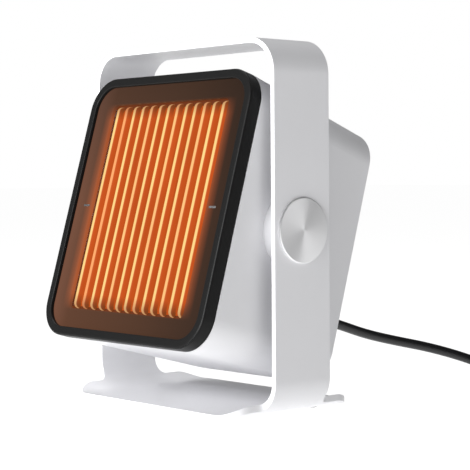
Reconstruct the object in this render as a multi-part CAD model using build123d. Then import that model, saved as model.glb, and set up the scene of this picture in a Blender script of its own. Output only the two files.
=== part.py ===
from build123d import *

import os
from math import atan2, copysign, cos, degrees, pi, radians, sin, tan

# A ceramic (PTC) fan heater.  A flat box-shaped head hangs in a loop stand bent
# from one sheet of steel, and tilts about a level axis through the loop's sides.
#
# Model frame: millimetres, +Z up, the heater blows towards -Y, +X is to the
# right of somebody who faces the outlet.  The origin is the centre of the
# object's footprint, on the surface that it stands on.
#
# Head frame: origin on the tilt axis, the head upright, the same axes.  The
# head's pieces are drawn in it and posed by in_head().

# ---- driving dimensions ------------------------------------------------------

FOOT_H = 2.0
FOOT_R = 6.0
FOOT_Y = 44.0
FOOT_SOFT = 0.6
REAR_FOOT_X = 74.0
FRONT_FOOT_X = 64.0

SHEET = 4.0
LOOP_W = 223.3
LOOP_H = 290.0
LOOP_D = 58.0
LOOP_R = 27.5
LOOP_Y = -3.81
TONGUE_FRONT = 37.5
TONGUE_REAR = 40.8
TONGUE_CORNER = 22.0
TONGUE_SWEEP = 7.0
TONGUE_BAND = 26.0
TONGUE_HALF = 100.0

TILT = 16.36
PIVOT_Z = FOOT_H + 142.1

HEAD_W = 201.8
HEAD_H = 219.8
HEAD_MID_Z = -0.5
HEAD_FRONT = -70.0
HEAD_R = 27.0
BEZEL_D = 11.6
SHELL_FRONT = HEAD_FRONT + BEZEL_D
SHELL_BACK = 82.0
BACK_W = 178.6
BACK_H = 209.6
BACK_MID_Z = -2.25
BACK_EDGE_R = 3.0
WALL = 2.2

RING_W = 7.4
RING_BEVEL = 1.0
PANEL_SEAT = 2.6
PANEL_GAP = 0.2
CLIP_L = 8.0
CLIP_H = 1.6
CLIP_T = 0.8
CLIP_FROM_OUTLET = 7.0
PANEL_RECESS = 3.5
PANEL_T = 2.6
RIB_COUNT = 13
RIB_PITCH = 11.1
RIB_W = 5.0
RIB_SUNK = 0.6
RIB_ROUND = 2.0
GRILLE_RIM = 6.0
GRILLE_LIP = 2.0
GRILLE_LIP_H = 3.0
OUTLET_W = 146.0
OUTLET_H = 174.0
OUTLET_R = 5.0
GRILLE_T = 2.0

ELEMENT_FRONT = -60.5
ELEMENT_D = 12.0
ELEMENT_H = 168.0
BAR_W = 3.2
FIN_SHIFT = 1.0
FIN_STEP = 4.2
RAIL_H = 8.0
RAIL_OVER = 8.0
RAIL_R = 2.0
STRIP_H = 5.0
STRIP_T = 0.8
TAB_W = 6.3
TAB_BACK = 9.0
TAB_X = 60.0

DUCT_FRONT = -46.0
DUCT_BACK = -4.0
DUCT_WALL = 1.6
DUCT_MOUTH_W = 152.0
DUCT_MOUTH_H = 164.0
DUCT_MOUTH_R = 8.0
FAN_R = 56.0
FAN_TUBE_R = 58.0
FAN_FRONT = 0.0
FAN_BACK = 22.0
TUBE_BACK = 30.0
HUB_R = 17.0
BLADE_COUNT = 7
BLADE_T = 1.8
BLADE_CHORD = 26.0
BLADE_PITCH = 32.0
BLADE_ROOT = 3.0
SPOKE_T = 2.5
SPOKE_W = 4.0
SPIDER_BORE_R = 7.0
SHAFT_R = 2.0
SHAFT_CLEARANCE = 0.04
MOTOR_R = 19.0
MOTOR_FRONT = 32.0
MOTOR_BACK = 58.0
MOTOR_NOSE = 2.0
MOTOR_WALL = 2.0
SHAFT_END_GAP = 2.5
BEARING_R = 5.0
BEARING_L = 5.0

COVER_T = 2.5
COVER_W = 151.6
COVER_H = 184.0
COVER_R = 18.0
COVER_GAP = 0.15
COVER_LIP = 9.0
LIP_CORNER_R = 12.0
POST_R = 3.6
POST_L = 9.0
PIVOT_HOLE_FROM = 80.0
PIVOT_HOLE_TO = 105.0
COVER_SCREW_INSET = 8.5
COVER_SCREW_R = 1.5
COVER_SCREW_L = 10.0
COVER_SCREW_HEAD_R = 2.8
COVER_SCREW_HEAD_T = 1.6
LIP_T = 2.0
SLOT_ROWS = 9
SLOT_GAP = 5.0
SLOT_R = 1.6
SLOT_COLUMNS = 3
SLOT_PITCH = 8.0
SLOT_L = 38.0
SLOT_H = 3.4
SLOT_FIRST_Z = 0.0

STUD_R = 8.0
STUD_CLEARANCE = 0.05
STUD_FLANGE_R = 12.0
STUD_FLANGE_T = 1.4
CAP_R = 25.4
CAP_T = 2.0
HUB_DISC_R = 29.0
HUB_GAP = 0.35
BOSS_R = 18.0
BUSH_R = 10.0
BRACKET_X = 86.0
BRACKET_T = 2.0
STUD_END_X = 77.0
CAP_BEVEL = 0.7
CAP_RIM = 0.8
RING_R = 27.0
RING_BORE_R = 22.0
RING_T = 1.2
BRACKET_R = 23.0
BRACKET_BORE_R = 8.6
PIVOT_SCREW_R = 1.6
PIVOT_SCREW_L = 11.0
PIVOT_SCREW_HEAD_R = 2.8
PIVOT_SCREW_HEAD_T = 1.8
WASHER_R = 11.5
WASHER_T = 0.8
WASHER_X = BRACKET_X - 2.2
NUT_R = 13.0
NUT_T = 5.0

# Each box: middle across, middle height, width, height, front, back.
BOARD = (-66.0, 20.0, 1.6, 70.0, 30.0, 72.0)
RELAY = (-57.2, 38.0, 16.0, 20.0, 36.0, 52.0)
DRIVER = (-59.7, 12.0, 11.0, 15.0, 36.0, 50.0)
TIP_SWITCH = (52.0, 70.0, 12.0, 14.0, 60.0, 74.0)
TERMINALS = (50.0, -72.0, 24.0, 9.0, 56.0, 66.0)
CLAMP_BAR = (40.0, -50.0, 20.0, 6.0, 68.0, 71.0)
CAPACITOR_R = 5.0
CAPACITOR_FROM = -65.2
CAPACITOR_TO = -50.0
CAPACITOR_Y = 60.0
TERMINAL_PITCH = 8.0
TERMINAL_HOLE_R = 1.8
TERMINAL_HOLE_FRONT = 60.0
CUTOUT_X = 30.0
CUTOUT_Z = 88.5
CUTOUT_R = 4.2
CUTOUT_L = 7.0
CUTOUT_TAB = (1.0, 3.0, 6.0)

SWITCH_X = -38.0
SWITCH_Z = -52.0
SWITCH_W = 15.0
SWITCH_H = 21.0
SWITCH_LIP = 2.0
SWITCH_FLANGE_T = 1.5
SWITCH_FRONT = 64.0
WELL_FRONT = 69.0
WELL_GAP_X = 0.8
WELL_GAP_Z = 1.8
ROCKER_W = 9.0
ROCKER_H = 14.0
ROCKER_PIN_R = 1.2
ROCKER_LEAN = 8.0
ROCKER_AXIS_Y = 77.0
ROCKER_PIN_GAP = 0.05
ROCKER_PIN_L = 1.2
ROCKER_PROUD = 2.6
ROCKER_HOLLOW = 1.2
ROCKER_DEPTH = 5.0
ROCKER_SHOULDER = 1.0

CORD_R = 4.2
GLAND_X = 40.0
GLAND_Z = -50.0
BOOT_L = 32.0
BOOT_R = 8.0
BOOT_WALL = 1.2
BOOT_FLANGE_R = 9.0
BOOT_FLANGE_T = 2.0
NECK_R = 6.0

# Free cord, hand-laid: from the end of the boot, down to the surface, and on to
# the tangent point of its coil.
CORD_ROUTE = [
    (40.0, 91.5, 64.0),
    (40.0, 112.6, 57.8),
    (41.5, 140.0, 48.8),
    (46.0, 172.0, 41.0),
    (55.0, 207.0, 33.2),
    (68.5, 240.0, 22.6),
    (83.5, 268.0, 10.0),
    (98.0, 291.0, 4.2),
    (107.2, 304.5, 4.2),
]
COIL_RADII = (35.3, 43.7, 52.1)
LAYER_RISE = 7.3
TIE_TURN = 18.0
TIE_W = 12.0
TIE_T = 1.2
COIL_LOOSE = 0.3
RUN_SHARE = 0.45
PLUG_L = 40.0
# Along the plug: distance from the cord, half width, half height.
PLUG_SECTIONS = [
    (0.0, 5.6, 5.6),
    (14.0, 8.0, 7.2),
    (26.0, 9.0, 8.2),
    (40.0, 13.0, 10.0),
]
BLADE_APART = 12.7
BLADE_SIZE = (1.5, 17.0, 6.3)
BLADE_RISE = 2.5
EARTH_R = 2.4
EARTH_L = 19.0
EARTH_DROP = 5.2
# From the coil's last turn down to the surface and into the plug.
TAIL_LENGTHS = (26.0, 30.0, 24.0)

# ---- derived places ----------------------------------------------------------

IN_X = LOOP_W / 2 - SHEET
OUT_X = LOOP_W / 2
PANEL_FRONT = HEAD_FRONT + PANEL_RECESS
PANEL_BACK = PANEL_FRONT + PANEL_T
GRILLE_BACK = PANEL_BACK + GRILLE_T
COVER_FRONT = SHELL_BACK - COVER_T
LIP_FRONT = COVER_FRONT - LIP_T
SIDES = {"right": 1, "left": -1}


# ---- helpers -----------------------------------------------------------------


def in_head(shape):
    """Place a shape drawn in the head frame into the model frame, at rest."""
    return Pos(0, LOOP_Y, PIVOT_Z) * Rot(-TILT, 0, 0) * shape


def save(name, *solids):
    """Write one node; several solids go in as one group."""
    shape = solids[0] if len(solids) == 1 else Compound(list(solids))
    export_step(shape, f"parts/{name}.step")


def save_head(name, *solids):
    """Write one node of the tilting head."""
    save(name, *[in_head(solid) for solid in solids])


def rounded(width, height, radius, y, z=0.0, x=0.0):
    """Rounded rectangle in the upright plane at depth y."""
    return Plane.XZ.offset(-y) * Pos(x, z) * RectangleRounded(width, height, radius)


def slab(width, height, radius, y_front, y_back, z=0.0, x=0.0):
    """Rounded rectangle extruded from y_front to y_back."""
    outline = rounded(width, height, radius, y_front, z, x)
    return extrude(outline, amount=y_back - y_front, dir=(0, 1, 0))


def block(x_size, z_size, y_front, y_back, x=0.0, z=0.0):
    """Plain rectangular block from y_front to y_back."""
    return Pos(x, (y_front + y_back) / 2, z) * Box(x_size, y_back - y_front, z_size)


def boxed(sizes):
    """Block from one of the electrics' size lists."""
    x, z, width, height, front, back = sizes
    return block(width, height, front, back, x, z)


def rod_y(radius, y_front, y_back, x=0.0, z=0.0):
    """Cylinder along Y."""
    middle = (y_front + y_back) / 2
    return Pos(x, middle, z) * Rot(90, 0, 0) * Cylinder(radius, y_back - y_front)


def rod_x(radius, x_low, x_high, y=0.0, z=0.0):
    """Cylinder along X."""
    middle = (x_low + x_high) / 2
    return Pos(middle, y, z) * Rot(0, 90, 0) * Cylinder(radius, abs(x_high - x_low))


def head_outline(y, inset=0.0):
    """Outline of the tapered casing at depth y, pulled in by inset."""
    share = (y - SHELL_FRONT) / (SHELL_BACK - SHELL_FRONT)
    width = HEAD_W + share * (BACK_W - HEAD_W) - 2 * inset
    height = HEAD_H + share * (BACK_H - HEAD_H) - 2 * inset
    middle = HEAD_MID_Z + share * (BACK_MID_Z - HEAD_MID_Z)
    return rounded(width, height, HEAD_R - inset, y, middle)


def casing_block(y_front, y_back, inset=0.0):
    """Solid with the casing's taper between two depths."""
    sections = [head_outline(y_front, inset), head_outline(y_back, inset)]
    return loft(sections, ruled=True)


def screw(y_head, radius, length, head_r, head_t, x, z):
    """Pan-head screw driven towards -Y, its head resting on the plane y_head."""
    head = rod_y(head_r, y_head, y_head + head_t, x, z)
    shank = rod_y(radius, y_head - length, y_head, x, z)
    slot = block(head_r * 1.4, 0.6, y_head + head_t * 0.55, y_head + head_t, x, z)
    return head + shank - slot


# ---- stand -------------------------------------------------------------------


def loop_profile(y):
    """Closed band of sheet, seen from the front, at depth y."""
    middle = FOOT_H + LOOP_H / 2
    outer = rounded(LOOP_W, LOOP_H, LOOP_R, y, middle)
    inner = rounded(
        LOOP_W - 2 * SHEET, LOOP_H - 2 * SHEET, LOOP_R - SHEET, y, middle
    )
    return outer - inner


def tongue_plan(root, tip):
    """Plan of one tongue, whose sides sweep out to the loop's full width."""
    inside = root + copysign(SHEET, root - tip)
    wide = LOOP_W / 2 + SHEET
    corners = [
        (TONGUE_HALF, tip),
        (TONGUE_HALF, root),
        (wide, root),
        (wide, inside),
    ]
    mirror_image = [(-x, y) for x, y in reversed(corners)]
    plan = make_face(Polyline(*corners, *mirror_image, close=True))
    middle = plan.vertices().filter_by(lambda v: abs(v.X) < TONGUE_HALF + 1)
    by_depth = middle.sort_by(lambda v: abs(v.Y - root))
    plan = fillet(by_depth[:2], TONGUE_SWEEP)
    by_depth = plan.vertices().sort_by(lambda v: abs(v.Y - tip))
    return fillet(by_depth[:2], TONGUE_CORNER)


def tongue(root, tip):
    """One flat tongue of the foot plate, cut from the same bent band."""
    start = min(root, tip)
    band = extrude(loop_profile(start), amount=abs(tip - root), dir=(0, 1, 0))
    plan = extrude(tongue_plan(root, tip), amount=TONGUE_BAND)
    return band & plan


def stand_frame():
    """Loop and foot plate in one bent sheet, with the two holes for the studs."""
    front = LOOP_Y - LOOP_D / 2
    back = LOOP_Y + LOOP_D / 2
    frame = extrude(loop_profile(front), amount=LOOP_D, dir=(0, 1, 0))
    frame += tongue(front, front - TONGUE_FRONT)
    frame += tongue(back, back + TONGUE_REAR)
    return frame - rod_x(STUD_R, -LOOP_W, LOOP_W, LOOP_Y, PIVOT_Z)


def rubber_feet():
    """Four stuck-on feet with a softened lower edge."""
    feet = []
    for half_x, y in ((FRONT_FOOT_X, -FOOT_Y), (REAR_FOOT_X, FOOT_Y)):
        for x in (-half_x, half_x):
            foot = Pos(x, LOOP_Y + y, FOOT_H / 2) * Cylinder(FOOT_R, FOOT_H)
            lower_edge = foot.edges().sort_by(Axis.Z)[0]
            feet.append(chamfer(lower_edge, FOOT_SOFT))
    return feet


# ---- tilt pivots -------------------------------------------------------------


def mirrored(side, shape):
    """The same shape on the other side of the object for side -1."""
    return shape if side > 0 else mirror(shape, about=Plane.YZ)


def pivot_stud():
    """Flanged stud through the loop's side; the head turns on its shank."""
    flange = rod_x(STUD_FLANGE_R, OUT_X, OUT_X + STUD_FLANGE_T)
    shank = rod_x(STUD_R, STUD_END_X, OUT_X)
    return flange + shank


def pivot_cap():
    """Thin dished cover over the stud's flange."""
    disc = rod_x(CAP_R, OUT_X, OUT_X + CAP_T)
    rim = disc.edges().filter_by(GeomType.CIRCLE).sort_by(Axis.X)[-1]
    disc = chamfer(rim, CAP_BEVEL)
    return disc - rod_x(CAP_R - CAP_RIM, OUT_X, OUT_X + STUD_FLANGE_T)


def pivot_hub():
    """Spacer between the casing and the loop, with a boss through the casing."""
    face = IN_X - HUB_GAP
    disc = rod_x(HUB_DISC_R, BRACKET_X + BRACKET_T, face)
    disc -= casing_block(SHELL_FRONT, SHELL_BACK)
    boss = rod_x(BOSS_R, BRACKET_X + BRACKET_T, face)
    bore = rod_x(BUSH_R, BRACKET_X, face)
    groove = friction_ring()
    hub = disc + boss - bore - groove
    for y, z in pivot_screw_places():
        hub -= rod_x(PIVOT_SCREW_R, BRACKET_X, BRACKET_X + PIVOT_SCREW_L + 1, y, z)
    return hub


def friction_ring():
    """Ring of friction material let into the hub's outer face."""
    face = IN_X - HUB_GAP
    return rod_x(RING_R, face - RING_T, face) - rod_x(RING_BORE_R, face - RING_T, face)


def pivot_bush():
    """Plain bush in the hub, running on the stud."""
    face = IN_X - HUB_GAP
    outer = rod_x(BUSH_R, BRACKET_X + BRACKET_T, face)
    return outer - rod_x(STUD_R + STUD_CLEARANCE, BRACKET_X, face)


def pivot_bracket():
    """Steel backing ring that clamps the hub to the casing."""
    end = BRACKET_X + BRACKET_T
    ring = rod_x(BRACKET_R, BRACKET_X, end) - rod_x(BRACKET_BORE_R, BRACKET_X, end)
    for y, z in pivot_screw_places():
        ring -= rod_x(PIVOT_SCREW_R, BRACKET_X, end, y, z)
    return ring


def pivot_screw_places():
    """Three screws on one circle round the stud."""
    circle = (BUSH_R + BOSS_R) / 2
    turns = [radians(angle) for angle in (90, 210, 330)]
    return [(circle * cos(turn), circle * sin(turn)) for turn in turns]


def pivot_screws():
    """Screws from inside the casing through the bracket into the hub."""
    screws = []
    for y, z in pivot_screw_places():
        head_x = BRACKET_X - PIVOT_SCREW_HEAD_T
        head = rod_x(PIVOT_SCREW_HEAD_R, head_x, BRACKET_X, y, z)
        shank = rod_x(PIVOT_SCREW_R, BRACKET_X, BRACKET_X + PIVOT_SCREW_L, y, z)
        screws.append(head + shank)
    return screws


def spring_washer():
    """Dished washer, drawn flat, that keeps the tilt stiff."""
    inner = WASHER_X - WASHER_T
    return rod_x(WASHER_R, inner, WASHER_X) - rod_x(STUD_R, inner, WASHER_X)


def pivot_nut():
    """Hexagon lock nut on the stud's inner end."""
    outer = WASHER_X - WASHER_T
    inner = outer - NUT_T
    hexagon = Plane.YZ.offset(inner) * RegularPolygon(NUT_R, 6)
    return extrude(hexagon, amount=NUT_T) - rod_x(STUD_R, inner, outer)


# ---- casing ------------------------------------------------------------------


def front_bezel():
    """Black frame round the outlet, its rear rim deep enough to take the panel."""
    frame = slab(HEAD_W, HEAD_H, HEAD_R, HEAD_FRONT, SHELL_FRONT, HEAD_MID_Z)
    frame = chamfer(frame.faces().sort_by(Axis.Y)[0].edges(), RING_BEVEL)
    window = 2 * RING_W
    frame -= slab(
        HEAD_W - window, HEAD_H - window, HEAD_R - RING_W,
        HEAD_FRONT, SHELL_FRONT, HEAD_MID_Z,
    )
    seat = 2 * PANEL_SEAT
    frame -= slab(
        HEAD_W - seat, HEAD_H - seat, HEAD_R - PANEL_SEAT,
        PANEL_FRONT, SHELL_FRONT, HEAD_MID_Z,
    )
    return frame


def front_panel():
    """Sunk dark plate round the glowing outlet."""
    edge = PANEL_SEAT + PANEL_GAP
    plate = slab(
        HEAD_W - 2 * edge, HEAD_H - 2 * edge, HEAD_R - edge,
        PANEL_FRONT, PANEL_BACK, HEAD_MID_Z,
    )
    plate -= slab(OUTLET_W, OUTLET_H, OUTLET_R, PANEL_FRONT, PANEL_BACK)
    for clip in panel_clips():
        plate -= clip
    return plate


def panel_clips():
    """Two small bright spring clips at the middle of the panel's sides."""
    clips = []
    for side in (1, -1):
        x = side * (OUTLET_W / 2 + CLIP_FROM_OUTLET)
        clips.append(block(CLIP_L, CLIP_H, PANEL_FRONT, PANEL_FRONT + CLIP_T, x))
    return clips


def rib_places():
    """Middles of the outlet's upright ribs."""
    first = -RIB_PITCH * (RIB_COUNT - 1) / 2
    return [first + RIB_PITCH * index for index in range(RIB_COUNT)]


def outlet_grille():
    """Guard over the heating element: a flange and upright round-nosed ribs."""
    rim = 2 * GRILLE_RIM
    length = OUTLET_H - 2 * GRILLE_LIP_H
    flange = slab(
        OUTLET_W + rim, OUTLET_H + rim, OUTLET_R + GRILLE_LIP_H, PANEL_BACK, GRILLE_BACK
    )
    flange -= slab(
        OUTLET_W - 2 * GRILLE_LIP, length, OUTLET_R - 1, PANEL_BACK, GRILLE_BACK
    )
    nose = PANEL_FRONT + RIB_SUNK
    for x in rib_places():
        bar = block(RIB_W, length, nose, GRILLE_BACK, x)
        corners = bar.edges().filter_by(Axis.Z).group_by(Axis.Y)[0]
        flange += fillet(corners, RIB_ROUND)
    return flange


def body_shell():
    """White casing: a tapered box, open in front, with a lip for the cover."""
    shell = casing_block(SHELL_FRONT, SHELL_BACK)
    back_face = shell.faces().sort_by(Axis.Y)[-1]
    shell = fillet(back_face.edges(), BACK_EDGE_R)
    shell -= casing_block(SHELL_FRONT, LIP_FRONT, WALL)
    shell -= slab(
        COVER_W, COVER_H, COVER_R, COVER_FRONT, SHELL_BACK, BACK_MID_Z
    )
    opening = 2 * COVER_LIP
    shell -= slab(
        COVER_W - opening, COVER_H - opening, LIP_CORNER_R,
        LIP_FRONT, COVER_FRONT, BACK_MID_Z,
    )
    for x, z in cover_screw_places():
        shell += rod_y(POST_R, LIP_FRONT - POST_L, LIP_FRONT, x, z)
        shell -= rod_y(COVER_SCREW_R, LIP_FRONT - POST_L, COVER_FRONT, x, z)
    for side in (1, -1):
        shell -= rod_x(BOSS_R, side * PIVOT_HOLE_FROM, side * PIVOT_HOLE_TO)
    return shell


def cover_screw_places():
    """The rear cover's four corner screws."""
    x = COVER_W / 2 - COVER_SCREW_INSET
    z = COVER_H / 2 - COVER_SCREW_INSET
    return [(i * x, BACK_MID_Z + j * z) for i in (-1, 1) for j in (-1, 1)]


def rear_cover():
    """Back panel with the air intake slots, the switch and the cord outlet."""
    gap = 2 * COVER_GAP
    cover = slab(
        COVER_W - gap, COVER_H - gap, COVER_R - COVER_GAP,
        COVER_FRONT, SHELL_BACK, BACK_MID_Z,
    )
    for row in range(SLOT_ROWS):
        z = SLOT_FIRST_Z + SLOT_PITCH * row
        for column in range(SLOT_COLUMNS):
            x = (column - (SLOT_COLUMNS - 1) / 2) * (SLOT_L + SLOT_GAP)
            cover -= slab(SLOT_L, SLOT_H, SLOT_R, COVER_FRONT, SHELL_BACK, z, x)
    for x, z in cover_screw_places():
        cover -= rod_y(COVER_SCREW_R, COVER_FRONT, SHELL_BACK, x, z)
    cover -= block(
        SWITCH_W - SWITCH_LIP, SWITCH_H - SWITCH_LIP, COVER_FRONT, SHELL_BACK,
        SWITCH_X, SWITCH_Z,
    )
    return cover - rod_y(NECK_R, COVER_FRONT, SHELL_BACK, GLAND_X, GLAND_Z)


def cover_screws():
    """Four pan-head screws through the rear cover into the casing's posts."""
    return [
        screw(
            SHELL_BACK, COVER_SCREW_R, COVER_SCREW_L,
            COVER_SCREW_HEAD_R, COVER_SCREW_HEAD_T, x, z,
        )
        for x, z in cover_screw_places()
    ]


# ---- heating element ---------------------------------------------------------


def ceramic_bars():
    """One ceramic heating bar behind each rib of the outlet."""
    back = ELEMENT_FRONT + ELEMENT_D
    return [
        block(BAR_W, ELEMENT_H, ELEMENT_FRONT, back, x) for x in rib_places()
    ]


def fin_strip(x):
    """Folded aluminium strip that fills the gap between two bars."""
    half = (RIB_PITCH - BAR_W - FIN_SHIFT) / 2
    folds = int(ELEMENT_H / FIN_STEP)
    bottom = -ELEMENT_H / 2
    middle = x - FIN_SHIFT / 2
    left = []
    for fold in range(folds):
        side = half if fold % 2 else -half
        left.append((middle + side, bottom + fold * FIN_STEP))
    right = [(px + FIN_SHIFT, pz) for px, pz in reversed(left)]
    outline = make_face(Polyline(*(left + right), close=True))
    plane = Plane.XZ.offset(-ELEMENT_FRONT)
    return extrude(plane * outline, amount=ELEMENT_D, dir=(0, 1, 0))


def fin_strips():
    """The folded strips, one in each gap."""
    places = rib_places()
    return [fin_strip((a + b) / 2) for a, b in zip(places, places[1:])]


def element_rails():
    """Heat-proof rails that hold the ends of the bars."""
    rails = []
    back = ELEMENT_FRONT + ELEMENT_D
    for side in (1, -1):
        z = side * (ELEMENT_H / 2 + RAIL_H / 2)
        rails.append(
            slab(OUTLET_W + RAIL_OVER, RAIL_H, RAIL_R, ELEMENT_FRONT, back, z)
        )
    return rails


def electrode_strips():
    """Contact strips with spade tabs, one behind each rail."""
    strips = []
    back = ELEMENT_FRONT + ELEMENT_D
    for side in (1, -1):
        z = side * (ELEMENT_H / 2 + RAIL_H / 2)
        strip = block(OUTLET_W, STRIP_H, back, back + STRIP_T, 0, z)
        tab = block(TAB_W, STRIP_T, back + STRIP_T, back + TAB_BACK, side * TAB_X, z)
        strips.append(strip + tab)
    return strips


def duct_body(wall):
    """Solid between the duct's two mouths, grown outwards by wall."""
    width = DUCT_MOUTH_W + 2 * wall
    height = DUCT_MOUTH_H + 2 * wall
    front = rounded(width, height, DUCT_MOUTH_R + wall, DUCT_FRONT)
    back = Plane.XZ.offset(-DUCT_BACK) * Circle(FAN_TUBE_R + wall)
    return loft([front, back])


def air_duct():
    """Funnel from the round fan tube to the oblong heating element."""
    return duct_body(DUCT_WALL) - duct_body(0.0)


# ---- fan ---------------------------------------------------------------------


def fan_tube():
    """Tube round the impeller, with the spider that carries the motor."""
    outer = FAN_TUBE_R + DUCT_WALL
    tube = rod_y(outer, DUCT_BACK, TUBE_BACK) - rod_y(FAN_TUBE_R, DUCT_BACK, TUBE_BACK)
    spider = TUBE_BACK - SPOKE_T
    spokes = rod_y(MOTOR_R, spider, TUBE_BACK)
    for angle in (45, 135):
        spoke = block(2 * FAN_TUBE_R + 1, SPOKE_W, spider, TUBE_BACK)
        spokes += Rot(0, angle, 0) * spoke
    return tube + spokes - rod_y(SPIDER_BORE_R, spider, TUBE_BACK)


def impeller():
    """Axial impeller: a hub and pitched blades, pressed on the shaft."""
    wheel = rod_y(HUB_R, FAN_FRONT, FAN_BACK)
    middle = (FAN_FRONT + FAN_BACK) / 2
    length = FAN_R - HUB_R + BLADE_ROOT
    for index in range(BLADE_COUNT):
        blade = Rot(0, 0, BLADE_PITCH) * Box(BLADE_T, BLADE_CHORD, length)
        blade = Pos(0, middle, HUB_R - BLADE_ROOT + length / 2) * blade
        wheel += Rot(0, 360 * index / BLADE_COUNT, 0) * blade
    envelope = rod_y(FAN_R, FAN_FRONT, FAN_BACK)
    return (wheel & envelope) - rod_y(SHAFT_R, FAN_FRONT, FAN_BACK)


def motor_shaft():
    """Shaft that carries the impeller, turning in the motor's two bearings."""
    return rod_y(SHAFT_R, FAN_FRONT, MOTOR_BACK - SHAFT_END_GAP)


def motor_bearings():
    """Sleeve bearings at both ends of the motor can."""
    bore = SHAFT_R + SHAFT_CLEARANCE
    rings = []
    for front in (MOTOR_FRONT, MOTOR_BACK - MOTOR_WALL - BEARING_L):
        back = front + BEARING_L
        rings.append(rod_y(BEARING_R, front, back) - rod_y(bore, front, back))
    return rings


def motor_can():
    """Drawn steel can; its hollow holds the bearings and the shaft."""
    nose = MOTOR_FRONT - MOTOR_NOSE
    return rod_y(MOTOR_R, nose, MOTOR_BACK) - rod_y(BEARING_R, nose, MOTOR_BACK - MOTOR_WALL)


# ---- electrics ---------------------------------------------------------------


def control_board():
    """Printed circuit board on edge beside the motor."""
    return boxed(BOARD)


def board_parts():
    """Relay, capacitor and driver block soldered to the board."""
    capacitor = rod_x(CAPACITOR_R, CAPACITOR_FROM, CAPACITOR_TO, CAPACITOR_Y)
    return [boxed(RELAY), boxed(DRIVER), capacitor]


def thermal_cutout():
    """Bimetal disc cut-out against the back of the upper rail."""
    front = ELEMENT_FRONT + ELEMENT_D + STRIP_T
    back = front + CUTOUT_L
    width, height, length = CUTOUT_TAB
    body = rod_y(CUTOUT_R, front, back, CUTOUT_X, CUTOUT_Z)
    return body + block(width, height, back, back + length, CUTOUT_X, CUTOUT_Z)


def tip_over_switch():
    """Sealed ball switch that opens when the heater falls over."""
    return boxed(TIP_SWITCH)


def terminal_block():
    """Screw terminals where the cord's cores are joined."""
    strip = boxed(TERMINALS)
    middle, height, *_, back = TERMINALS
    for place in (-1, 0, 1):
        x = middle + place * TERMINAL_PITCH
        strip -= rod_y(TERMINAL_HOLE_R, TERMINAL_HOLE_FRONT, back, x, height)
    return strip


def cord_clamp():
    """Bar that pinches the cord inside the cover."""
    return boxed(CLAMP_BAR)


def switch_housing():
    """Snap-in housing of the power switch, with a flange outside the cover."""
    outside = SHELL_BACK + SWITCH_FLANGE_T
    flange = slab(
        SWITCH_W, SWITCH_H, SWITCH_FLANGE_T, SHELL_BACK, outside, SWITCH_Z, SWITCH_X
    )
    body = block(
        SWITCH_W - SWITCH_LIP, SWITCH_H - SWITCH_LIP, SWITCH_FRONT, SHELL_BACK,
        SWITCH_X, SWITCH_Z,
    )
    well = block(
        ROCKER_W + WELL_GAP_X, ROCKER_H + WELL_GAP_Z, WELL_FRONT, outside,
        SWITCH_X, SWITCH_Z,
    )
    pin = ROCKER_PIN_R + ROCKER_PIN_GAP
    half = ROCKER_W / 2 + ROCKER_PIN_L + 0.2
    bore = rod_x(pin, SWITCH_X - half, SWITCH_X + half, ROCKER_AXIS_Y, SWITCH_Z)
    return flange + body - well - bore


def power_rocker():
    """Rocker with a hollowed face; its two trunnions turn in the housing."""
    half = ROCKER_H / 2
    top = SHELL_BACK + ROCKER_PROUD
    bottom = ROCKER_AXIS_Y - ROCKER_DEPTH
    shoulder = ROCKER_AXIS_Y + ROCKER_SHOULDER
    side = Polyline(
        (bottom, SWITCH_Z - half * 0.45),
        (shoulder, SWITCH_Z - half),
        (top, SWITCH_Z - half * 0.94),
        (top - ROCKER_HOLLOW, SWITCH_Z),
        (top, SWITCH_Z + half * 0.94),
        (shoulder, SWITCH_Z + half),
        (bottom, SWITCH_Z + half * 0.45),
        close=True,
    )
    plane = Plane.YZ.offset(SWITCH_X - ROCKER_W / 2)
    rocker = extrude(plane * make_face(side), amount=ROCKER_W)
    pins = ROCKER_W / 2 + ROCKER_PIN_L
    rocker += rod_x(
        ROCKER_PIN_R, SWITCH_X - pins, SWITCH_X + pins, ROCKER_AXIS_Y, SWITCH_Z
    )
    on_axis = Pos(SWITCH_X, ROCKER_AXIS_Y, SWITCH_Z)
    return on_axis * Rot(ROCKER_LEAN, 0, 0) * on_axis.inverse() * rocker


def strain_relief():
    """Moulded boot: a flange inside the cover, a neck through it and a taper."""
    inside = COVER_FRONT - BOOT_FLANGE_T
    flange = rod_y(BOOT_FLANGE_R, inside, COVER_FRONT, GLAND_X, GLAND_Z)
    neck = rod_y(NECK_R, COVER_FRONT, SHELL_BACK, GLAND_X, GLAND_Z)
    taper = Cone(BOOT_R, CORD_R + BOOT_WALL, BOOT_L)
    taper = Pos(GLAND_X, SHELL_BACK + BOOT_L / 2, GLAND_Z) * Rot(-90, 0, 0) * taper
    return flange + neck + taper


# ---- cord --------------------------------------------------------------------


def corner_radii(points):
    """Arc for each corner: as large as the two runs beside it allow."""
    spots = [Vector(*point) for point in points]
    radii = []
    for before, corner, after in zip(spots, spots[1:], spots[2:]):
        turn = (corner - before).get_angle(after - corner)
        run = min((corner - before).length, (after - corner).length)
        radii.append(RUN_SHARE * run / tan(radians(turn) / 2))
    return radii


def tube(points, name):
    """Round cord along straight runs joined by tangent arcs."""
    radii = corner_radii(points)
    print(name, "radii", [round(radius) for radius in radii])
    line = FilletPolyline(*points, radius=radii)
    section = Plane(origin=line @ 0, z_dir=line % 0) * Circle(CORD_R)
    solid = sweep(section, path=line)
    ratio = solid.volume / (pi * CORD_R**2 * line.length)
    print(name, "length", round(line.length, 1), "volume ratio", round(ratio, 4))
    return solid


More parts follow.
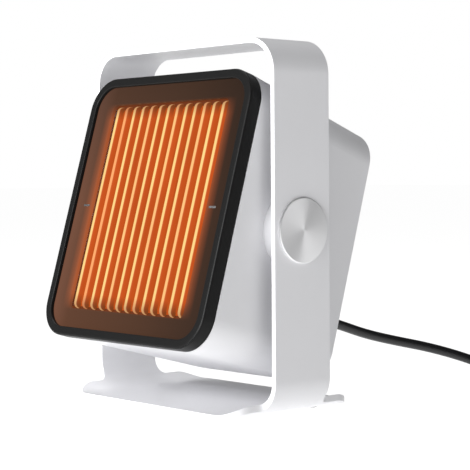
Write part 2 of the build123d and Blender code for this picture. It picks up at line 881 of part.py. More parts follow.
def coil_frame():
    """Centre of the coil and the angle where the cord comes in."""
    (x1, y1, _), (x2, y2, _) = CORD_ROUTE[-2:]
    heading = atan2(y2 - y1, x2 - x1)
    radius = COIL_RADII[-1]
    centre = (x2 + radius * sin(heading), y2 - radius * cos(heading))
    return centre, heading


def cord_coil():
    """Outer shape of the coil: three turns below, two nested above them."""
    (x, y), _ = coil_frame()
    low = COIL_RADII[0] - CORD_R - COIL_LOOSE
    high = COIL_RADII[-1] + CORD_R + COIL_LOOSE
    top = 2 * CORD_R + LAYER_RISE
    section = Polyline(
        (low, 0), (high, 0), (high, 2 * CORD_R),
        (high - CORD_R, top), (low + CORD_R, top), (low, 2 * CORD_R),
        close=True,
    )
    ring = revolve(Plane.XZ * make_face(section), axis=Axis.Z)
    return Pos(x, y, 0) * ring - cord_tie()


def cord_tie():
    """Strap round the bundle of turns."""
    (x, y), heading = coil_frame()
    reach = CORD_R + COIL_LOOSE + TIE_T
    low = COIL_RADII[0] - reach
    high = COIL_RADII[-1] + reach
    top = 2 * CORD_R + LAYER_RISE + TIE_T
    centre = Pos((low + high) / 2, 0, top / 2)
    strap = centre * Box(high - low, TIE_W, top)
    inside = centre * Box(high - low - 2 * TIE_T, TIE_W, top - 1.6)
    return Pos(x, y, 0) * Rot(0, 0, degrees(heading) + TIE_TURN) * (strap - inside)


def tail_points():
    """Tail: leaves the upper layer on the coil's right, and comes down in front."""
    (x, y), _ = coil_frame()
    side = x + (COIL_RADII[1] + COIL_RADII[2]) / 2
    high = CORD_R + LAYER_RISE
    first, second, third = TAIL_LENGTHS
    return [
        (side, y, high),
        (side + 0.6, y - first, high - 1.3),
        (side + 2.0, y - first - second, CORD_R),
        (side + 2.0, y - first - second - third, CORD_R),
    ]


def plug_place():
    """Location of the plug: its +Y runs back along the cord."""
    x, y, z = tail_points()[-1]
    return Pos(x, y, z)


def plug_body():
    """Moulded plug body with a waist for the fingers."""
    outlines = []
    for along, half_x, half_z in PLUG_SECTIONS:
        lift = max(half_z - CORD_R, 0.0)
        outline = RectangleRounded(2 * half_x, 2 * half_z, 0.45 * half_z)
        outlines.append(Plane.XZ.offset(along) * Pos(0, lift) * outline)
    return plug_place() * loft(outlines)


def plug_pins():
    """Two flat blades and the round earth pin."""
    lift = PLUG_SECTIONS[-1][2] - CORD_R
    blade_y = -PLUG_L - BLADE_SIZE[1] / 2
    pins = []
    for side in (1, -1):
        blade = Box(*BLADE_SIZE)
        pins.append(Pos(side * BLADE_APART / 2, blade_y, lift + BLADE_RISE) * blade)
    pins.append(rod_y(EARTH_R, -PLUG_L - EARTH_L, -PLUG_L, 0.0, lift - EARTH_DROP))
    return [plug_place() * pin for pin in pins]


# ---- output ------------------------------------------------------------------


def write_stand():
    """Nodes that stay still."""
    save("stand_frame", stand_frame())
    save("rubber_feet", *rubber_feet())
    on_axis = Pos(0, LOOP_Y, PIVOT_Z)
    for name, side in SIDES.items():
        save(f"pivot_stud_{name}", on_axis * mirrored(side, pivot_stud()))
        save(f"pivot_cap_{name}", on_axis * mirrored(side, pivot_cap()))
        save(f"spring_washer_{name}", on_axis * mirrored(side, spring_washer()))
        save(f"pivot_nut_{name}", on_axis * mirrored(side, pivot_nut()))


def write_pivots():
    """Pivot pieces that tilt with the head."""
    screws = []
    for name, side in SIDES.items():
        save_head(f"pivot_hub_{name}", mirrored(side, pivot_hub()))
        save_head(f"pivot_bush_{name}", mirrored(side, pivot_bush()))
        save_head(f"friction_ring_{name}", mirrored(side, friction_ring()))
        save_head(f"pivot_bracket_{name}", mirrored(side, pivot_bracket()))
        screws += [mirrored(side, one) for one in pivot_screws()]
    save_head("pivot_screws", *screws)


def write_casing():
    """Casing and front of the head."""
    save_head("front_bezel", front_bezel())
    save_head("front_panel", front_panel())
    save_head("panel_clips", *panel_clips())
    save_head("outlet_grille", outlet_grille())
    save_head("body_shell", body_shell())
    save_head("rear_cover", rear_cover())
    save_head("cover_screws", *cover_screws())


def write_works():
    """Heating element, fan and electrics."""
    save_head("ceramic_bars", *ceramic_bars())
    save_head("fin_strips", *fin_strips())
    save_head("element_rails", *element_rails())
    save_head("electrode_strips", *electrode_strips())
    save_head("air_duct", air_duct())
    save_head("fan_tube", fan_tube())
    save_head("impeller", impeller())
    save_head("motor_shaft", motor_shaft())
    save_head("motor_bearings", *motor_bearings())
    save_head("motor_can", motor_can())
    save_head("control_board", control_board())
    save_head("board_parts", *board_parts())
    save_head("thermal_cutout", thermal_cutout())
    save_head("tip_over_switch", tip_over_switch())
    save_head("terminal_block", terminal_block())
    save_head("cord_clamp", cord_clamp())
    save_head("switch_housing", switch_housing())
    save_head("power_rocker", power_rocker())
    save_head("strain_relief", strain_relief())


def write_cord():
    """The free cord and what is on it."""
    save("cord_lead", tube(CORD_ROUTE, "cord_lead"))
    save("cord_coil", cord_coil())
    save("cord_tie", cord_tie())
    save("cord_tail", tube(tail_points(), "cord_tail"))
    save("plug_body", plug_body())
    save("plug_pins", *plug_pins())


def print_places():
    """Places that a description of the object needs."""
    lean = radians(TILT)
    rocker = in_head(Pos(SWITCH_X, ROCKER_AXIS_Y, SWITCH_Z) * Sphere(1)).center()
    boot = in_head(Pos(GLAND_X, SHELL_BACK + BOOT_L, GLAND_Z) * Sphere(1)).center()
    print("tilt axis at", (0, LOOP_Y, PIVOT_Z), "fan axis", (0, cos(lean), -sin(lean)))
    print("rocker axis at", rocker, "coil centre", coil_frame()[0])
    print("boot end", boot)


os.makedirs("parts", exist_ok=True)
write_stand()
write_pivots()
write_casing()
write_works()
write_cord()
print_places()
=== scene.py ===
from math import cos, pi, radians, sin

import bmesh
import bpy
from mathutils import Matrix, Vector


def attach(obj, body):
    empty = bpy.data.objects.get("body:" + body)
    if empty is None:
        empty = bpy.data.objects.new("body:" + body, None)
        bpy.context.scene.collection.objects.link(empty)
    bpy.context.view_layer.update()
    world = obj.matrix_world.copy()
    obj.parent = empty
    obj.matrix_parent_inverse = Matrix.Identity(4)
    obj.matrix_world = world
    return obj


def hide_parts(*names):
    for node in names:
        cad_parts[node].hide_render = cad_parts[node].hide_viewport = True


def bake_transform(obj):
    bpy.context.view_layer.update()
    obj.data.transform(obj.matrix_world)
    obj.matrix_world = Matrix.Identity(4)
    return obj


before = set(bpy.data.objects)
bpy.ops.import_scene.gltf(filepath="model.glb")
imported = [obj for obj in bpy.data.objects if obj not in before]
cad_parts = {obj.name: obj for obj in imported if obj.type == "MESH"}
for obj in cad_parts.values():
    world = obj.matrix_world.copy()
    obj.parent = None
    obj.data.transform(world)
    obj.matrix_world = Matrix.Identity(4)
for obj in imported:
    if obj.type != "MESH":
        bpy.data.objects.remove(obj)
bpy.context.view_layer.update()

# A ceramic fan heater in a loop stand.  Metres, +Z up, the outlet faces -Y.

# ---- places repeated from the CAD source, in metres -----------------------------

LOOP_Y = -0.00381
PIVOT_Z = 0.1441
TILT = radians(16.36)
HEAD = Matrix.Translation((0, LOOP_Y, PIVOT_Z)) @ Matrix.Rotation(-TILT, 4, "X")

CORD_R = 0.0042
CORD_ROUTE = [
    (0.0400, 0.0915, 0.0640),
    (0.0400, 0.1126, 0.0578),
    (0.0415, 0.1400, 0.0488),
    (0.0460, 0.1720, 0.0410),
    (0.0550, 0.2070, 0.0332),
    (0.0685, 0.2400, 0.0226),
    (0.0835, 0.2680, 0.0100),
    (0.0980, 0.2910, 0.0042),
    (0.1072, 0.3045, 0.0042),
]
# The cord's lead runs between these two; coil and tail lie wholly beyond the second.
COIL_CENTRE = (0.15025, 0.27516)
COIL_IN = radians(145.7)
# Turns since the cord came in, radius and height of its middle.
COIL_STATIONS = [
    (0.00, 0.0521, 0.0042),
    (0.75, 0.0521, 0.0042),
    (1.00, 0.0437, 0.0042),
    (1.75, 0.0437, 0.0042),
    (2.00, 0.0353, 0.0042),
    (2.38, 0.0353, 0.0042),
    (2.52, 0.0356, 0.0086),
    (2.66, 0.0395, 0.0115),
    (2.75, 0.0395, 0.0118),
    (2.87, 0.0395, 0.0128),
    (3.00, 0.0395, 0.0118),
    (3.10, 0.0395, 0.0115),
    (3.29, 0.0395, 0.0115),
    (3.41, 0.0437, 0.0128),
    (3.53, 0.0479, 0.0115),
    (3.75, 0.0479, 0.0118),
    (3.87, 0.0479, 0.0128),
    (4.00, 0.0479, 0.0118),
    (4.10, 0.0479, 0.0115),
    (4.38, 0.0479, 0.0115),
]
COIL_STEPS = 16
CORD_TAIL = [
    (0.19815, 0.27516, 0.0115),
    (0.19875, 0.24916, 0.0102),
    (0.20015, 0.21916, 0.0042),
    (0.20015, 0.19516, 0.0042),
]


# ---- materials ------------------------------------------------------------------


class Paint:
    """A node material with its own small helpers."""

    def __init__(self, name, colour, roughness, **sockets):
        self.material = bpy.data.materials.new(name)
        self.material.use_nodes = True
        self.nodes = self.material.node_tree.nodes
        self.links = self.material.node_tree.links
        self.shader = self.nodes["Principled BSDF"]
        self.shader.inputs["Base Color"].default_value = (*colour, 1)
        self.shader.inputs["Roughness"].default_value = roughness
        for socket, value in sockets.items():
            self.shader.inputs[socket.replace("_", " ")].default_value = value
        self.place = self.nodes.new("ShaderNodeTexCoord").outputs["Object"]

    def noise(self, scale, detail=3.0, stretch=(1, 1, 1)):
        """Noise in the object's own space; returns its factor."""
        mapping = self.nodes.new("ShaderNodeMapping")
        mapping.inputs["Scale"].default_value = stretch
        texture = self.nodes.new("ShaderNodeTexNoise")
        texture.inputs["Scale"].default_value = scale
        texture.inputs["Detail"].default_value = detail
        self.links.new(self.place, mapping.inputs["Vector"])
        self.links.new(mapping.outputs["Vector"], texture.inputs["Vector"])
        return texture.outputs["Fac"]

    def ramp(self, factor, *stops):
        """Colour ramp through (position, colour) stops."""
        node = self.nodes.new("ShaderNodeValToRGB")
        elements = node.color_ramp.elements
        while len(elements) < len(stops):
            elements.new(0.5)
        for element, (position, colour) in zip(elements, stops):
            element.position = position
            element.color = (*colour, 1)
        self.links.new(factor, node.inputs["Fac"])
        return node.outputs["Color"]

    def spread(self, factor, low, high):
        """The factor's 0.3 to 0.7 drawn out from low to high."""
        node = self.nodes.new("ShaderNodeMapRange")
        node.inputs["From Min"].default_value = 0.3
        node.inputs["From Max"].default_value = 0.7
        node.inputs["To Min"].default_value = low
        node.inputs["To Max"].default_value = high
        self.links.new(factor, node.inputs["Value"])
        return node.outputs["Result"]

    def bump(self, height, strength, distance=0.0002):
        """Bump from a height factor, on top of any bump that is there."""
        node = self.nodes.new("ShaderNodeBump")
        node.inputs["Strength"].default_value = strength
        node.inputs["Distance"].default_value = distance
        self.links.new(height, node.inputs["Height"])
        normal = self.shader.inputs["Normal"]
        if normal.is_linked:
            self.links.new(normal.links[0].from_socket, node.inputs["Normal"])
        self.links.new(node.outputs["Normal"], normal)

    def head_place(self):
        """Coordinates in the head frame, for a CAD node of the head."""
        mapping = self.nodes.new("ShaderNodeMapping")
        back = HEAD.inverted()
        mapping.inputs["Location"].default_value = back.to_translation()
        mapping.inputs["Rotation"].default_value = back.to_euler()
        self.links.new(self.place, mapping.inputs["Vector"])
        return mapping.outputs["Vector"]

    def axis(self, vector, name):
        """One coordinate of a vector."""
        node = self.nodes.new("ShaderNodeSeparateXYZ")
        self.links.new(vector, node.inputs["Vector"])
        return node.outputs[name]

    def math(self, operation, first, second=0.0):
        """One operation; each operand is a socket or a number."""
        node = self.nodes.new("ShaderNodeMath")
        node.operation = operation
        for place, value in zip(node.inputs, (first, second)):
            if isinstance(value, (int, float)):
                place.default_value = value
            else:
                self.links.new(value, place)
        return node.outputs["Value"]

    def share(self, value, low, high):
        """The value's way from low to high, held between 0 and 1."""
        node = self.nodes.new("ShaderNodeMapRange")
        node.inputs["From Min"].default_value = low
        node.inputs["From Max"].default_value = high
        self.links.new(value, node.inputs["Value"])
        return node.outputs["Result"]

    def mixed(self, factor, first, second, blend="MIX"):
        """Mix of two colours; each is a socket or a colour."""
        node = self.nodes.new("ShaderNodeMix")
        node.data_type = "RGBA"
        node.blend_type = blend
        for place, value in ((node.inputs[6], first), (node.inputs[7], second)):
            if isinstance(value, tuple):
                place.default_value = (*value, 1)
            else:
                self.links.new(value, place)
        if isinstance(factor, (int, float)):
            node.inputs[0].default_value = factor
        else:
            self.links.new(factor, node.inputs[0])
        return node.outputs[2]

    def drive(self, socket, source):
        """Link a source into one of the shader's sockets."""
        self.links.new(source, self.shader.inputs[socket])


def tinted(colour, change):
    """The colour made lighter or darker."""
    return tuple(min(1.0, channel * change) for channel in colour)


def moulded(name, colour, roughness, grain=900, depth=0.12, vary=0.04, **sockets):
    """Moulded plastic or powder coat: fine grain, slow change of shade and gloss."""
    paint = Paint(name, colour, roughness, **sockets)
    slow = paint.noise(14, 2)
    stops = (0.3, tinted(colour, 1 - vary)), (0.7, tinted(colour, 1 + vary))
    paint.drive("Base Color", paint.ramp(slow, *stops))
    fine = paint.noise(grain, 2)
    paint.drive("Roughness", paint.spread(fine, roughness - 0.06, roughness + 0.06))
    paint.bump(fine, depth)
    return paint.material


def metal(name, colour, roughness, stretch=(1, 1, 1), grain=700):
    """Bare metal with drawn or rolled marks along one direction."""
    paint = Paint(name, colour, roughness, Metallic=1.0)
    marks = paint.noise(grain, 4, stretch)
    paint.drive("Roughness", paint.spread(marks, roughness - 0.1, roughness + 0.12))
    stops = (0.3, tinted(colour, 0.85)), (0.7, tinted(colour, 1.05))
    paint.drive("Base Color", paint.ramp(marks, *stops))
    paint.bump(marks, 0.1, 0.0001)
    return paint.material


WHITE = (0.80, 0.80, 0.82)

MATERIALS = {
    "steel_enamel": moulded("steel_enamel", WHITE, 0.34, 1400, 0.05, 0.012),
    "case_plastic": moulded("case_plastic", WHITE, 0.42, 2200, 0.05, 0.012),
    "black_plastic": moulded("black_plastic", (0.022, 0.022, 0.024), 0.36, 1600, 0.10),
    "bezel_black": moulded(
        "bezel_black", (0.009, 0.009, 0.009), 0.40, 1600, 0.10, Specular_IOR_Level=0.12
    ),
    # The pivot hubs' white plastic, darkened to grey as painted shade.
    "hub_plastic_painted_shade": moulded("hub_plastic_painted_shade", (0.55, 0.55, 0.57), 0.42, 2200, 0.05, 0.012),
    "heatproof": moulded("heatproof", (0.05, 0.05, 0.05), 0.5, 900, 0.15),
    "steel": metal("steel", (0.55, 0.55, 0.56), 0.32, (1, 1, 30)),
    "brass": metal("brass", (0.70, 0.52, 0.24), 0.28, (30, 1, 1)),
    "nylon": moulded("nylon", (0.55, 0.54, 0.50), 0.45, 900, 0.1),
    "rubber": moulded("rubber", (0.02, 0.02, 0.02), 0.7, 1500, 0.3),
    "board": moulded("board", (0.02, 0.12, 0.05), 0.35, 700, 0.1, 0.15),
    "cord_jacket": moulded("cord_jacket", (0.010, 0.010, 0.011), 0.38, 2500, 0.08),
}


def spun_aluminium():
    """Lathe-turned face: rings round the tilt axis, stretched highlights."""
    paint = Paint("spun_aluminium", (0.90, 0.90, 0.91), 0.40, Metallic=1.0, Anisotropic=0.80)
    mapping = paint.nodes.new("ShaderNodeMapping")
    mapping.inputs["Location"].default_value = (0, -LOOP_Y, -PIVOT_Z)
    paint.links.new(paint.place, mapping.inputs["Vector"])
    tangent = paint.nodes.new("ShaderNodeTangent")
    tangent.direction_type = "RADIAL"
    tangent.axis = "X"
    paint.drive("Tangent", tangent.outputs["Tangent"])
    length = paint.nodes.new("ShaderNodeVectorMath")
    length.operation = "LENGTH"
    flat = paint.nodes.new("ShaderNodeVectorMath")
    flat.operation = "MULTIPLY"
    flat.inputs[1].default_value = (0, 1, 1)
    paint.links.new(mapping.outputs["Vector"], flat.inputs[0])
    paint.links.new(flat.outputs["Vector"], length.inputs[0])
    rings = paint.nodes.new("ShaderNodeTexNoise")
    rings.noise_dimensions = "1D"
    rings.inputs["Scale"].default_value = 2600
    rings.inputs["Detail"].default_value = 2
    paint.links.new(length.outputs["Value"], rings.inputs["W"])
    paint.bump(rings.outputs["Fac"], 0.12, 0.0001)
    return paint.material


MATERIALS["spun_aluminium"] = spun_aluminium()


# Heights over which a rib's painted glow fades towards its ends.
FADE_FROM = 0.074
FADE_TO = 0.0835


def painted_glow(name, colour, edge=None):
    """Painted glow on a part that is no lamp, a little uneven; fades to the edge colour at a
    rib's ends.
    """
    paint = Paint(name, tinted(colour, 0.05), 0.6, Specular_IOR_Level=0.1)
    uneven = paint.noise(45, 2, (1, 1, 0.4))
    stops = (0.3, tinted(colour, 0.9)), (0.7, tinted(colour, 1.05))
    shine = paint.ramp(uneven, *stops)
    if edge:
        height = paint.math("ABSOLUTE", paint.axis(paint.place, "Z"))
        shine = paint.mixed(paint.share(height, FADE_FROM, FADE_TO), shine, edge)
    paint.drive("Emission Color", shine)
    paint.shader.inputs["Emission Strength"].default_value = 1.0
    return paint.material


# Painted glow on the outlet's parts, which are no lamp: yellow, warm and peach crests as
# painted highlight, shoulders dimmer, flanks darker as painted shade, rails and core a dim
# red painted glow.
MATERIALS["painted_glow_yellow"] = painted_glow("painted_glow_yellow", (0.98, 0.64, 0.24), (0.55, 0.28, 0.12))
MATERIALS["painted_glow_warm"] = painted_glow("painted_glow_warm", (0.98, 0.52, 0.20), (0.55, 0.24, 0.10))
MATERIALS["painted_glow_peach"] = painted_glow("painted_glow_peach", (0.96, 0.38, 0.14), (0.50, 0.18, 0.07))
MATERIALS["painted_glow_shoulder"] = painted_glow("painted_glow_shoulder", (0.74, 0.26, 0.075), (0.25, 0.08, 0.03))
MATERIALS["painted_glow_shaded_flank"] = painted_glow("painted_glow_shaded_flank", (0.56, 0.086, 0.014), (0.20, 0.05, 0.012))
MATERIALS["painted_glow_rail"] = painted_glow("painted_glow_rail", (0.16, 0.035, 0.009))
MATERIALS["painted_glow_core"] = painted_glow("painted_glow_core", (0.52, 0.085, 0.012))


# Half width and top of the panel's painted glow, and where its painted halo beside the
# outlet fades out.
PANEL_HALF = 0.095
PANEL_TOP = 0.11
HALO_FROM = 0.0725
HALO_TO = 0.0825
HALO_END_FROM = 0.074
HALO_END_TO = 0.088


def panel_painted_glow():
    """Dark brown plate with painted glow: a brown glow brightest at the left and dimming
    towards the top, and a painted halo beside the outlet.
    """
    paint = Paint("panel_painted_glow", (0.006, 0.004, 0.003), 0.38, Specular_IOR_Level=0.12)
    place = paint.head_place()
    across = paint.axis(place, "X")
    up = paint.axis(place, "Z")
    # Painted brown glow across the panel, brightest at its left edge.
    painted_brown_glow = paint.ramp(
        paint.share(across, -PANEL_HALF, PANEL_HALF),
        (0.00, (0.180, 0.076, 0.045)),
        (0.12, (0.110, 0.044, 0.022)),
        (0.60, (0.075, 0.031, 0.015)),
        (1.00, (0.032, 0.014, 0.007)),
    )
    # The painted glow dims towards the top.
    painted_glow_dimming_up = (0.60, 0.66, 0.72)
    painted_brown_glow = paint.mixed(paint.share(up, 0.0, PANEL_TOP), painted_brown_glow, painted_glow_dimming_up, "MULTIPLY")
    # Painted halo of outlet glow along the outlet's sides, cut off past its ends.
    edge = paint.math("ABSOLUTE", across)
    painted_halo = paint.ramp(
        paint.share(edge, HALO_FROM, HALO_TO),
        (0.0, (0.30, 0.055, 0.010)),
        (0.4, (0.13, 0.026, 0.006)),
        (1.0, (0.0, 0.0, 0.0)),
    )
    ends = paint.math("ABSOLUTE", up)
    past_end = paint.share(ends, HALO_END_FROM, HALO_END_TO)
    painted_halo = paint.mixed(past_end, painted_halo, (0.0, 0.0, 0.0))
    paint.drive("Emission Color", paint.mixed(1.0, painted_brown_glow, painted_halo, "ADD"))
    paint.shader.inputs["Emission Strength"].default_value = 1.0
    fine = paint.noise(1800, 2)
    paint.bump(fine, 0.05)
    return paint.material


MATERIALS["panel_painted_glow"] = panel_painted_glow()

NODE_LOOK = {
    "stand_frame": "steel_enamel",
    "rubber_feet": "rubber",
    "front_bezel": "bezel_black",
    "front_panel": "panel_painted_glow",
    "panel_clips": "steel",
    "body_shell": "case_plastic",
    "rear_cover": "case_plastic",
    "cover_screws": "steel",
    "ceramic_bars": "painted_glow_core",
    "element_rails": "painted_glow_rail",
    "electrode_strips": "steel",
    "air_duct": "heatproof",
    "fan_tube": "black_plastic",
    "impeller": "black_plastic",
    "motor_shaft": "steel",
    "motor_bearings": "brass",
    "motor_can": "steel",
    "control_board": "board",
    "board_parts": "heatproof",
    "thermal_cutout": "steel",
    "tip_over_switch": "black_plastic",
    "terminal_block": "nylon",
    "cord_clamp": "nylon",
    "switch_housing": "black_plastic",
    "power_rocker": "black_plastic",
    "strain_relief": "rubber",
    "cord_tie": "nylon",
    "plug_body": "cord_jacket",
    "plug_pins": "brass",
    "pivot_screws": "steel",
    "outlet_grille": "heatproof",
    "fin_strips": "painted_glow_core",
}
for side in ("left", "right"):
    NODE_LOOK[f"pivot_cap_{side}"] = "spun_aluminium"
    NODE_LOOK[f"pivot_hub_{side}"] = "hub_plastic_painted_shade"
    NODE_LOOK[f"pivot_bush_{side}"] = "nylon"
    NODE_LOOK[f"friction_ring_{side}"] = "nylon"
    for name in ("pivot_stud", "pivot_bracket", "pivot_nut", "spring_washer"):
        NODE_LOOK[f"{name}_{side}"] = "steel"

for node, look in NODE_LOOK.items():
    for part_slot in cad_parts[node].material_slots:
        part_slot.material = MATERIALS[look]


# ---- softened edges on the pieces that show -----------------------------------------


WELD_REACH = 0.000005
SHARP_ANGLE = radians(35)
BEVEL_STEPS = 3
SOFT_EDGES = {
    "stand_frame": 0.0007,
    "front_bezel": 0.0008,
    "pivot_hub_left": 0.0008,
    "pivot_hub_right": 0.0008,
    "power_rocker": 0.0005,
    "plug_body": 0.0008,
}


def soften(node, width):
    """Round a CAD node's sharp edges with modifiers."""
    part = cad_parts[node]
    weld = part.modifiers.new("weld", "WELD")
    weld.merge_threshold = WELD_REACH
    bevel = part.modifiers.new("bevel", "BEVEL")
    bevel.width = width
    bevel.segments = BEVEL_STEPS
    bevel.limit_method = "ANGLE"
    bevel.angle_limit = SHARP_ANGLE
    bevel.use_clamp_overlap = True
    bevel.harden_normals = False
    shade = part.modifiers.new("shade", "WEIGHTED_NORMAL")
    shade.keep_sharp = False
    shade.weight = 100


for node, width in SOFT_EDGES.items():
    soften(node, width)


# ---- outlet ------------------------------------------------------------------------

RIB_COUNT = 13
RIB_PITCH = 0.0111
RIB_NOSE = -0.0659
RIB_STRAIGHT = 0.0815
RIB_BEND = 0.0045
RIB_STEPS = 8
BEND_STEPS = 6
# Half of a rib's section: distance from its middle, depth behind its nose, and
# which painted glow the strip up to the next point gets (painted highlight on the crest,
# painted shade down the flanks).
RIB_SECTION = [
    (0.0000, 0.00000, "crest"),
    (0.0009, 0.00006, "crest"),
    (0.0014, 0.00018, "shoulder"),
    (0.0018, 0.00040, "flank"),
    (0.0021, 0.00080, "flank"),
    (0.0025, 0.00160, "flank"),
    (0.0025, 0.00400, "flank"),
]
# The ribs' materials come in this order.
RIB_LOOKS = ["painted_glow_yellow", "painted_glow_warm", "painted_glow_peach", "painted_glow_shoulder", "painted_glow_shaded_flank"]
SHOULDER_SLOT = RIB_LOOKS.index("painted_glow_shoulder")
FLANK_SLOT = RIB_LOOKS.index("painted_glow_shaded_flank")
# Crests of these ribs take another tint of painted highlight.
CREST_LOOKS = {1: "painted_glow_peach", 4: "painted_glow_warm", 7: "painted_glow_warm", 10: "painted_glow_warm"}


def rib_stations():
    """Bend angle and height along a rib, from its lower end to its upper end."""
    quarter = radians(90)
    bend = [
        (quarter * step / BEND_STEPS, RIB_STRAIGHT) for step in range(1, BEND_STEPS + 1)
    ]
    low = [(-angle, -height) for angle, height in reversed(bend)]
    straight = [
        (0.0, RIB_STRAIGHT * step / RIB_STEPS)
        for step in range(-RIB_STEPS, RIB_STEPS + 1)
    ]
    return low + straight + bend


def add_rib(mesh, x, crest):
    """One upright rib whose ends bend back behind the panel."""
    right = [(dx, depth) for dx, depth, _ in RIB_SECTION]
    section = [(-dx, depth) for dx, depth in reversed(right[1:])] + right
    kinds = [kind for _, _, kind in RIB_SECTION[:-1]]
    kinds = kinds[::-1] + kinds
    rows = []
    for angle, height in rib_stations():
        row = []
        for dx, depth in section:
            reach = RIB_BEND - depth
            y = RIB_NOSE + RIB_BEND - reach * cos(angle)
            row.append(mesh.verts.new((x + dx, y, height + reach * sin(angle))))
        rows.append(row)
    material = {"crest": crest, "shoulder": SHOULDER_SLOT, "flank": FLANK_SLOT}
    for low, high in zip(rows, rows[1:]):
        for count, kind in enumerate(kinds):
            corners = low[count], low[count + 1], high[count + 1], high[count]
            face = mesh.faces.new(corners)
            face.material_index = material[kind]
            face.smooth = True
    mesh.faces.new(rows[0]).material_index = FLANK_SLOT
    mesh.faces.new(rows[-1][::-1]).material_index = FLANK_SLOT
    for low, high in zip(rows, rows[1:]):
        face = mesh.faces.new((low[-1], low[0], high[0], high[-1]))
        face.material_index = FLANK_SLOT


def finished(mesh, name, looks):
    """Turn a bmesh into a piece with its materials, riding on the head."""
    bmesh.ops.recalc_face_normals(mesh, faces=mesh.faces)
    data = bpy.data.meshes.new(name)
    mesh.to_mesh(data)
    mesh.free()
    for look in looks:
        data.materials.append(MATERIALS[look])
    piece = bpy.data.objects.new(name, data)
    piece.matrix_world = HEAD
    bpy.context.collection.objects.link(piece)
    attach(piece, "head")
    return piece


def outlet_ribs():
    """The guard's ribs in painted glow: a painted highlight on each crest, painted shade on
    the flanks.
    """
    mesh = bmesh.new()
    for count in range(RIB_COUNT):
        x = (count - (RIB_COUNT - 1) / 2) * RIB_PITCH
        crest = RIB_LOOKS.index(CREST_LOOKS.get(count, "painted_glow_yellow"))
        add_rib(mesh, x, crest)
    return finished(mesh, "outlet_ribs", RIB_LOOKS)


ribs = outlet_ribs()
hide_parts("outlet_grille")


# ---- cord ---------------------------------------------------------------------------


def eased(share):
    """Smooth start and end."""
    return share * share * (3 - 2 * share)


def coil_points():
    """Turns of the put-away coil, by its stations."""
    points = []
    last = COIL_STATIONS[-1][0]
    stations = iter(zip(COIL_STATIONS, COIL_STATIONS[1:]))
    low, high = next(stations)
    for count in range(1, int(last * COIL_STEPS) + 1):
        turn = count / COIL_STEPS
        while turn > high[0]:
            low, high = next(stations)
        share = eased((turn - low[0]) / (high[0] - low[0]))
        radius = low[1] + share * (high[1] - low[1])
        height = low[2] + share * (high[2] - low[2])
        angle = COIL_IN - 2 * pi * turn
        points.append(
            (
                COIL_CENTRE[0] + radius * cos(angle),
                COIL_CENTRE[1] + radius * sin(angle),
                height,
            )
        )
    return points


def nurbs_curve(name, points):
    """A smooth open line with these control points."""
    data = bpy.data.curves.new(name, "CURVE")
    data.dimensions = "3D"
    spline = data.splines.new("NURBS")
    spline.points.add(len(points) - 1)
    for place, point in zip(spline.points, points):
        place.co = (*point, 1)
    spline.order_u = 3
    spline.use_endpoint_u = True
    spline.resolution_u = 6
    curve = bpy.data.objects.new(name, data)
    bpy.context.collection.objects.link(curve)
    return curve


def line_points(curve):
    """Points on the curve's own line."""
    bpy.context.view_layer.update()
    mesh = bpy.data.meshes.new_from_object(curve)
    return [tuple(vertex.co) for vertex in mesh.vertices]


def tube_from(curve, radius, name):
    """Mesh tube round a curve."""
    curve.data.bevel_depth = radius
    curve.data.bevel_resolution = 4
    curve.data.use_fill_caps = True
    bpy.context.view_layer.update()
    mesh = bpy.data.meshes.new_from_object(curve)
    mesh.name = name
    for polygon in mesh.polygons:
        polygon.use_smooth = True
    tube = bpy.data.objects.new(name, mesh)
    bpy.context.collection.objects.link(tube)
    bpy.data.objects.remove(curve)
    return tube


route = nurbs_curve("route", CORD_ROUTE + coil_points() + CORD_TAIL)
cord_line = line_points(route)
power_cord = tube_from(route, CORD_R, "power_cord")
power_cord.data.materials.append(MATERIALS["cord_jacket"])
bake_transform(power_cord)
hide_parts("cord_lead", "cord_coil", "cord_tail")


# ---- floor, lights and camera ----------------------------------------------------------


FLOOR_SIZE = 60
FLOOR_DROP = 0.0002
FLOOR_GLOW = 0.93
AMBIENT = 0.07


def plane(name, size, material):
    """Flat square on the floor."""
    mesh = bpy.data.meshes.new(name)
    half = size / 2
    corners = [(-half, -half, 0), (half, -half, 0), (half, half, 0), (-half, half, 0)]
    mesh.from_pydata(corners, [], [(0, 1, 2, 3)])
    mesh.materials.append(material)
    thing = bpy.data.objects.new(name, mesh)
    bpy.context.collection.objects.link(thing)
    return thing


floor_paint = Paint("floor_white", (0.35, 0.35, 0.35), 0.12, Specular_IOR_Level=0.4)
floor_paint.shader.inputs["Emission Color"].default_value = (1, 1, 1, 1)
floor_paint.shader.inputs["Emission Strength"].default_value = FLOOR_GLOW
floor = plane("floor", FLOOR_SIZE, floor_paint.material)
floor.location.z = -FLOOR_DROP


def area_light(name, place, target, size, power):
    """Soft box that faces a target."""
    data = bpy.data.lights.new(name, "AREA")
    data.shape = "RECTANGLE"
    data.size, data.size_y = size
    data.energy = power
    lamp = bpy.data.objects.new(name, data)
    lamp.location = place
    aim = Vector(target) - Vector(place)
    lamp.rotation_euler = aim.to_track_quat("-Z", "Y").to_euler()
    bpy.context.collection.objects.link(lamp)


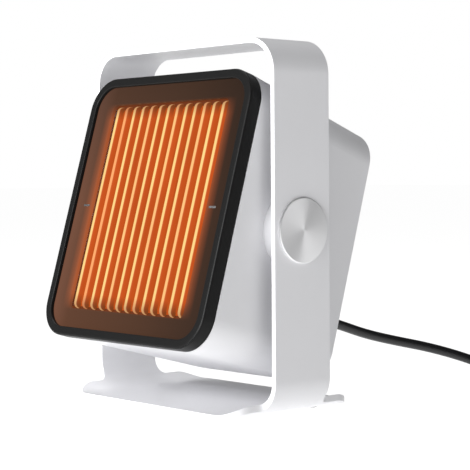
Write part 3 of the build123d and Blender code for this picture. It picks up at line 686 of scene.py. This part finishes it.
area_light("key", (-0.25, -2.4, 0.95), (0, 0, 0.10), (1.2, 0.8), 50)
area_light("low", (0.35, -2.2, 0.40), (0, 0, 0.08), (1.4, 0.5), 36)
area_light("top", (-0.6, 0.0, 2.2), (0, 0, 0.1), (1.0, 1.2), 26)

world = bpy.data.worlds.new("studio")
bpy.context.scene.world = world
world.use_nodes = True
nodes = world.node_tree.nodes
backdrop = nodes["Background"]
backdrop.inputs["Color"].default_value = (1.0, 1.0, 1.0, 1)
backdrop.inputs["Strength"].default_value = AMBIENT
seen = nodes.new("ShaderNodeBackground")
seen.inputs["Color"].default_value = (1, 1, 1, 1)
seen.inputs["Strength"].default_value = 1.0
mix = nodes.new("ShaderNodeMixShader")
rays = nodes.new("ShaderNodeLightPath")
links = world.node_tree.links
links.new(rays.outputs["Is Camera Ray"], mix.inputs["Fac"])
links.new(backdrop.outputs["Background"], mix.inputs[1])
links.new(seen.outputs["Background"], mix.inputs[2])
links.new(mix.outputs["Shader"], nodes["World Output"].inputs["Surface"])

CAMERA_AT = (0.93810, -0.80686, 0.18359)
YAW = radians(48.4118)
PITCH = radians(-1.5378)
ROLL = radians(-0.3892)
SENSOR = 36
LENS = 115.19
SHIFT = (0.001, -0.0327)


def photo_camera():
    """Camera at the photograph's place and angle."""
    forward = Vector((-sin(YAW) * cos(PITCH), cos(YAW) * cos(PITCH), sin(PITCH)))
    level = Vector((cos(YAW), sin(YAW), 0))
    over = level.cross(forward)
    right = level * cos(ROLL) + over * sin(ROLL)
    up = over * cos(ROLL) - level * sin(ROLL)
    data = bpy.data.cameras.new("photo_camera")
    data.sensor_width = SENSOR
    data.lens = LENS
    data.shift_x, data.shift_y = SHIFT
    data.clip_start = 0.05
    data.clip_end = 200
    camera = bpy.data.objects.new("photo_camera", data)
    turn = Matrix((right, up, -forward)).transposed()
    camera.matrix_world = Matrix.Translation(CAMERA_AT) @ turn.to_4x4()
    bpy.context.collection.objects.link(camera)
    bpy.context.scene.camera = camera


photo_camera()
bpy.context.scene.view_settings.view_transform = "Standard"
